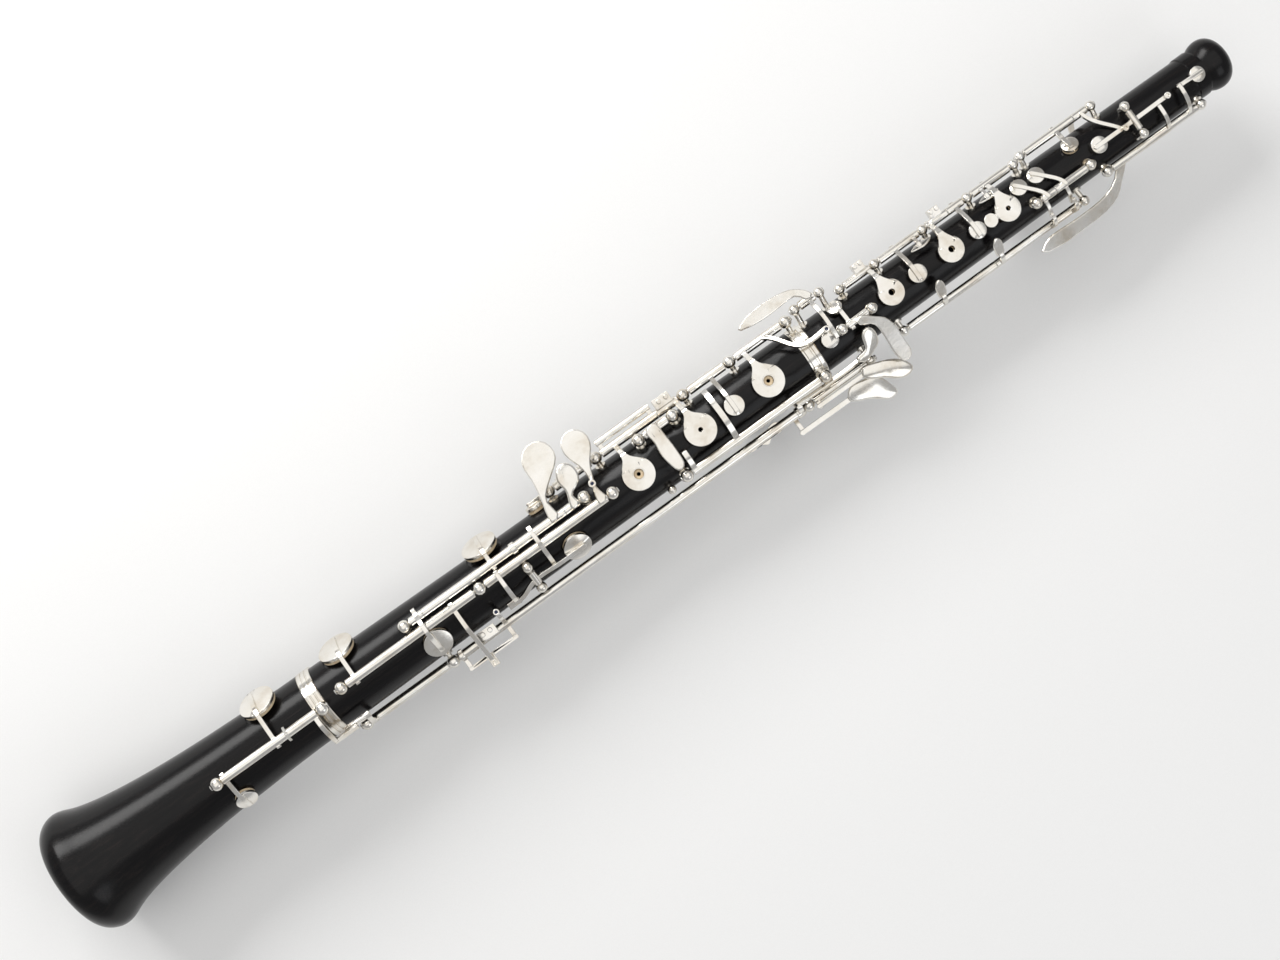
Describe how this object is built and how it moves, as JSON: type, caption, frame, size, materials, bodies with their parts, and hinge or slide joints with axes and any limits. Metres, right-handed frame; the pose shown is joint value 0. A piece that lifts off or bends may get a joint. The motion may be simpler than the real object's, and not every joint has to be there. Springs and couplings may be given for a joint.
{
  "type": "oboe",
  "caption": "Oboe body in three joints of dark wood, with sprung silver-plated keywork, pads, posts and a reed socket at the top.",
  "frame": {"origin": "centre of the mouth of the reed well, on the axis of the instrument", "axes": "+X along the instrument towards the reed, +Z to the front, where the finger plates are, +Y to the player right-hand side"},
  "size_m": [0.596, 0.0737, 0.0544],
  "materials": {
    "grenadilla": "satin, oiled black heartwood",
    "silver_plate": "polished silver plate",
    "steel": "plain",
    "cork": "waxed cork",
    "pad_skin": "cork and skin pads"
  },
  "bodies": {
    "instrument_body": {"bell_body": "grenadilla", "bell_posts": "silver_plate", "bell_ring": "silver_plate", "lower_hinge_rods": "steel", "lower_joint_body": "grenadilla", "lower_joint_posts": "silver_plate", "lower_tenon_cork": "cork", "middle_ring": "silver_plate", "reed_well_liner": "silver_plate", "thumb_rest": "silver_plate", "upper_hinge_rods": "steel", "upper_joint_body": "grenadilla", "upper_joint_posts": "silver_plate", "upper_tenon_cork": "cork"},
    "bell_key_body": {"bell_key": "silver_plate", "bell_key_pads": "pad_skin"},
    "low_b_key_body": {"low_b_key": "silver_plate", "low_b_pad": "pad_skin"},
    "low_c_key_body": {"low_c_key": "silver_plate", "low_c_pad": "pad_skin"},
    "c_sharp_key_body": {"c_sharp_key": "silver_plate", "c_sharp_pad": "pad_skin"},
    "e_flat_touch_key_body": {"e_flat_touch_key": "silver_plate"},
    "e_flat_cup_lever_body": {"e_flat_cup_lever": "silver_plate", "e_flat_pad": "pad_skin"},
    "low_b_lever_body": {"low_b_lever": "silver_plate"},
    "left_e_flat_lever_body": {"left_e_flat_lever": "silver_plate"},
    "low_b_flat_lever_body": {"low_b_flat_lever": "silver_plate"},
    "f_resonance_key_body": {"f_resonance_key": "silver_plate", "f_resonance_pad": "pad_skin"},
    "d_plate_key_body": {"d_plate_key": "silver_plate", "d_plate_pad": "pad_skin"},
    "e_plate_key_body": {"e_plate_key": "silver_plate", "e_plate_pad": "pad_skin"},
    "f_vent_key_body": {"f_vent_key": "silver_plate", "f_vent_pad": "pad_skin"},
    "f_sharp_plate_key_body": {"f_sharp_plate_key": "silver_plate", "f_sharp_plate_pad": "pad_skin"},
    "f_touch_key_body": {"f_touch_key": "silver_plate"},
    "f_cross_lever_body": {"f_cross_lever": "silver_plate"},
    "side_trill_key_body": {"side_trill_key": "silver_plate", "side_trill_pad": "pad_skin"},
    "g_sharp_key_body": {"g_sharp_key": "silver_plate"},
    "g_plate_key_body": {"g_plate_key": "silver_plate", "g_plate_pad": "pad_skin"},
    "a_plate_key_body": {"a_plate_key": "silver_plate", "a_plate_pad": "pad_skin"},
    "a_vent_key_body": {"a_vent_key": "silver_plate"},
    "b_vent_key_body": {"b_vent_key": "silver_plate"},
    "half_hole_key_body": {"half_hole_key": "silver_plate", "half_hole_pad": "pad_skin"},
    "first_trill_lever_body": {"first_trill_lever": "silver_plate"},
    "second_trill_lever_body": {"second_trill_lever": "silver_plate"},
    "first_trill_key_body": {"first_trill_key": "silver_plate"},
    "second_trill_key_body": {"second_trill_key": "silver_plate"},
    "d_trill_key_body": {"d_trill_key": "silver_plate", "d_trill_pad": "pad_skin"},
    "thumb_octave_lever_body": {"thumb_octave_lever": "silver_plate"},
    "first_octave_key_body": {"first_octave_key": "silver_plate"},
    "side_octave_key_body": {"side_octave_key": "silver_plate"}
  },
  "joints": [
    {"name": "bell_key_hinge", "type": "hinge", "parent": "instrument_body", "child": "bell_key_body", "pos_m": [-0.4956, -0.0022, 0.02], "axis": [1, 0, 0], "range_deg": [-4.9, 0], "stiffness_Nm_per_rad": 0.15, "springref_deg": 5.73},
    {"name": "low_b_key_hinge", "type": "hinge", "parent": "instrument_body", "child": "low_b_key_body", "pos_m": [-0.42455, 0, 0.0178], "axis": [1, 0, 0], "range_deg": [-3.2, 0], "stiffness_Nm_per_rad": 0.15, "springref_deg": 5.73},
    {"name": "low_c_key_hinge", "type": "hinge", "parent": "instrument_body", "child": "low_c_key_body", "pos_m": [-0.379, 0.0053, 0.0168], "axis": [1, 0, 0], "range_deg": [-6.5, 0], "stiffness_Nm_per_rad": 0.15, "springref_deg": 5.73},
    {"name": "c_sharp_key_hinge", "type": "hinge", "parent": "instrument_body", "child": "c_sharp_key_body", "pos_m": [-0.38, 0.0053, 0.0168], "axis": [1, 0, 0], "range_deg": [-8, 0], "stiffness_Nm_per_rad": 0.15, "springref_deg": 5.73},
    {"name": "e_flat_touch_key_hinge", "type": "hinge", "parent": "instrument_body", "child": "e_flat_touch_key_body", "pos_m": [-0.3565, 0, 0.0178], "axis": [1, 0, 0], "range_deg": [-4.5, 0], "stiffness_Nm_per_rad": 0.15, "springref_deg": 5.73},
    {"name": "e_flat_cup_lever_hinge", "type": "hinge", "parent": "instrument_body", "child": "e_flat_cup_lever_body", "pos_m": [-0.3692, -0.00945, 0.01401], "axis": [0, 0.829, 0.5592], "range_deg": [-5.67, 0], "stiffness_Nm_per_rad": 0.15, "springref_deg": 5.73},
    {"name": "low_b_lever_hinge", "type": "hinge", "parent": "instrument_body", "child": "low_b_lever_body", "pos_m": [-0.3254, -0.0183, 0.0025], "axis": [1, 0, 0], "range_deg": [-9, 0], "stiffness_Nm_per_rad": 0.15, "springref_deg": 5.73},
    {"name": "left_e_flat_lever_hinge", "type": "hinge", "parent": "instrument_body", "child": "left_e_flat_lever_body", "pos_m": [-0.2171, -0.0183, 0.0025], "axis": [1, 0, 0], "range_deg": [0, 7], "stiffness_Nm_per_rad": 0.15, "springref_deg": -5.73},
    {"name": "low_b_flat_lever_hinge", "type": "hinge", "parent": "instrument_body", "child": "low_b_flat_lever_body", "pos_m": [-0.3494, -0.0183, -0.0036], "axis": [1, 0, 0], "range_deg": [0, 5], "stiffness_Nm_per_rad": 0.15, "springref_deg": -5.73},
    {"name": "f_resonance_key_hinge", "type": "hinge", "parent": "instrument_body", "child": "f_resonance_key_body", "pos_m": [-0.33195, 0.016, 0.008], "axis": [1, 0, 0], "range_deg": [0, 8], "stiffness_Nm_per_rad": 0.15, "springref_deg": -5.73},
    {"name": "d_plate_key_hinge", "type": "hinge", "parent": "instrument_body", "child": "d_plate_key_body", "pos_m": [-0.3028, 0.016, 0.008], "axis": [1, 0, 0], "range_deg": [0, 5.5], "stiffness_Nm_per_rad": 0.15, "springref_deg": -5.73},
    {"name": "e_plate_key_hinge", "type": "hinge", "parent": "instrument_body", "child": "e_plate_key_body", "pos_m": [-0.2832, 0.016, 0.008], "axis": [1, 0, 0], "range_deg": [0, 5.5], "stiffness_Nm_per_rad": 0.15, "springref_deg": -5.73},
    {"name": "f_vent_key_hinge", "type": "hinge", "parent": "instrument_body", "child": "f_vent_key_body", "pos_m": [-0.26295, 0.016, 0.008], "axis": [1, 0, 0], "range_deg": [0, 5.5], "stiffness_Nm_per_rad": 0.15, "springref_deg": -5.73},
    {"name": "f_sharp_plate_key_hinge", "type": "hinge", "parent": "instrument_body", "child": "f_sharp_plate_key_body", "pos_m": [-0.23645, 0.016, 0.008], "axis": [1, 0, 0], "range_deg": [0, 3.5], "stiffness_Nm_per_rad": 0.15, "springref_deg": -5.73},
    {"name": "f_touch_key_hinge", "type": "hinge", "parent": "instrument_body", "child": "f_touch_key_body", "pos_m": [-0.29265, 0.0115, 0.0126], "axis": [1, 0, 0], "range_deg": [0, 3], "stiffness_Nm_per_rad": 0.15, "springref_deg": -5.73},
    {"name": "f_cross_lever_hinge", "type": "hinge", "parent": "instrument_body", "child": "f_cross_lever_body", "pos_m": [-0.2577, -0.0123, 0.011], "axis": [1, 0, 0], "range_deg": [-5.61, 0], "stiffness_Nm_per_rad": 0.15, "springref_deg": 5.73},
    {"name": "side_trill_key_hinge", "type": "hinge", "parent": "instrument_body", "child": "side_trill_key_body", "pos_m": [-0.21, 0.0178, 0.0105], "axis": [1, 0, 0], "range_deg": [-3, 0], "stiffness_Nm_per_rad": 0.15, "springref_deg": 5.73},
    {"name": "g_sharp_key_hinge", "type": "hinge", "parent": "instrument_body", "child": "g_sharp_key_body", "pos_m": [-0.19775, -0.0006, 0.015], "axis": [1, 0, 0], "range_deg": [0, 8], "stiffness_Nm_per_rad": 0.15, "springref_deg": -5.73},
    {"name": "g_plate_key_hinge", "type": "hinge", "parent": "instrument_body", "child": "g_plate_key_body", "pos_m": [-0.1863, 0.0138, 0.0085], "axis": [1, 0, 0], "range_deg": [0, 4.8], "stiffness_Nm_per_rad": 0.15, "springref_deg": -5.73},
    {"name": "a_plate_key_hinge", "type": "hinge", "parent": "instrument_body", "child": "a_plate_key_body", "pos_m": [-0.1444, 0.0138, 0.0085], "axis": [1, 0, 0], "range_deg": [0, 4.8], "stiffness_Nm_per_rad": 0.15, "springref_deg": -5.73},
    {"name": "a_vent_key_hinge", "type": "hinge", "parent": "instrument_body", "child": "a_vent_key_body", "pos_m": [-0.16465, 0.0138, 0.0085], "axis": [1, 0, 0], "range_deg": [0, 4.8], "stiffness_Nm_per_rad": 0.15, "springref_deg": -5.73},
    {"name": "b_vent_key_hinge", "type": "hinge", "parent": "instrument_body", "child": "b_vent_key_body", "pos_m": [-0.13505, 0.0138, 0.0085], "axis": [1, 0, 0], "range_deg": [0, 4.8], "stiffness_Nm_per_rad": 0.15, "springref_deg": -5.73},
    {"name": "half_hole_key_hinge", "type": "hinge", "parent": "instrument_body", "child": "half_hole_key_body", "pos_m": [-0.1164, 0.0138, 0.0085], "axis": [1, 0, 0], "range_deg": [0, 4.8], "stiffness_Nm_per_rad": 0.15, "springref_deg": -5.73},
    {"name": "first_trill_lever_hinge", "type": "hinge", "parent": "instrument_body", "child": "first_trill_lever_body", "pos_m": [-0.11835, -0.0163, 0.003], "axis": [1, 0, 0], "range_deg": [-6, 0], "stiffness_Nm_per_rad": 0.15, "springref_deg": 5.73},
    {"name": "second_trill_lever_hinge", "type": "hinge", "parent": "instrument_body", "child": "second_trill_lever_body", "pos_m": [-0.1566, -0.0163, 0.003], "axis": [1, 0, 0], "range_deg": [-6, 0], "stiffness_Nm_per_rad": 0.15, "springref_deg": 5.73},
    {"name": "first_trill_key_hinge", "type": "hinge", "parent": "instrument_body", "child": "first_trill_key_body", "pos_m": [-0.10105, -0.0054, 0.0134], "axis": [1, 0, 0], "range_deg": [0, 5.4], "stiffness_Nm_per_rad": 0.15, "springref_deg": -5.73},
    {"name": "second_trill_key_hinge", "type": "hinge", "parent": "instrument_body", "child": "second_trill_key_body", "pos_m": [-0.0893, -0.0054, 0.0134], "axis": [1, 0, 0], "range_deg": [0, 5.4], "stiffness_Nm_per_rad": 0.15, "springref_deg": -5.73},
    {"name": "d_trill_key_hinge", "type": "hinge", "parent": "instrument_body", "child": "d_trill_key_body", "pos_m": [-0.0841, 0.015, 0.007], "axis": [1, 0, 0], "range_deg": [-8, 0], "stiffness_Nm_per_rad": 0.15, "springref_deg": 5.73},
    {"name": "thumb_octave_lever_hinge", "type": "hinge", "parent": "instrument_body", "child": "thumb_octave_lever_body", "pos_m": [-0.06775, 0.015, 0.007], "axis": [1, 0, 0], "range_deg": [-2, 0], "stiffness_Nm_per_rad": 0.15, "springref_deg": 5.73},
    {"name": "first_octave_key_hinge", "type": "hinge", "parent": "instrument_body", "child": "first_octave_key_body", "pos_m": [-0.0529, 0, 0.0146], "axis": [0, 1, 0], "range_deg": [0, 4.8], "stiffness_Nm_per_rad": 0.15, "springref_deg": -5.73},
    {"name": "side_octave_key_hinge", "type": "hinge", "parent": "instrument_body", "child": "side_octave_key_body", "pos_m": [-0.0467, -0.012, 0.006], "axis": [1, 0, 0], "range_deg": [0, 5.5], "stiffness_Nm_per_rad": 0.15, "springref_deg": -5.73}
  ],
  "couplings": [
    {"joint": "bell_key_hinge", "follows": "low_b_flat_lever_hinge", "ratio": -0.98},
    {"joint": "low_b_key_hinge", "follows": "low_b_lever_hinge", "ratio": 0.356},
    {"joint": "e_flat_cup_lever_hinge", "follows": "e_flat_touch_key_hinge", "ratio": 1.26},
    {"joint": "f_cross_lever_hinge", "follows": "f_touch_key_hinge", "ratio": -1.87},
    {"joint": "first_trill_key_hinge", "follows": "first_trill_lever_hinge", "ratio": -0.9},
    {"joint": "second_trill_key_hinge", "follows": "second_trill_lever_hinge", "ratio": -0.9},
    {"joint": "first_octave_key_hinge", "follows": "thumb_octave_lever_hinge", "ratio": -2.4}
  ]
}
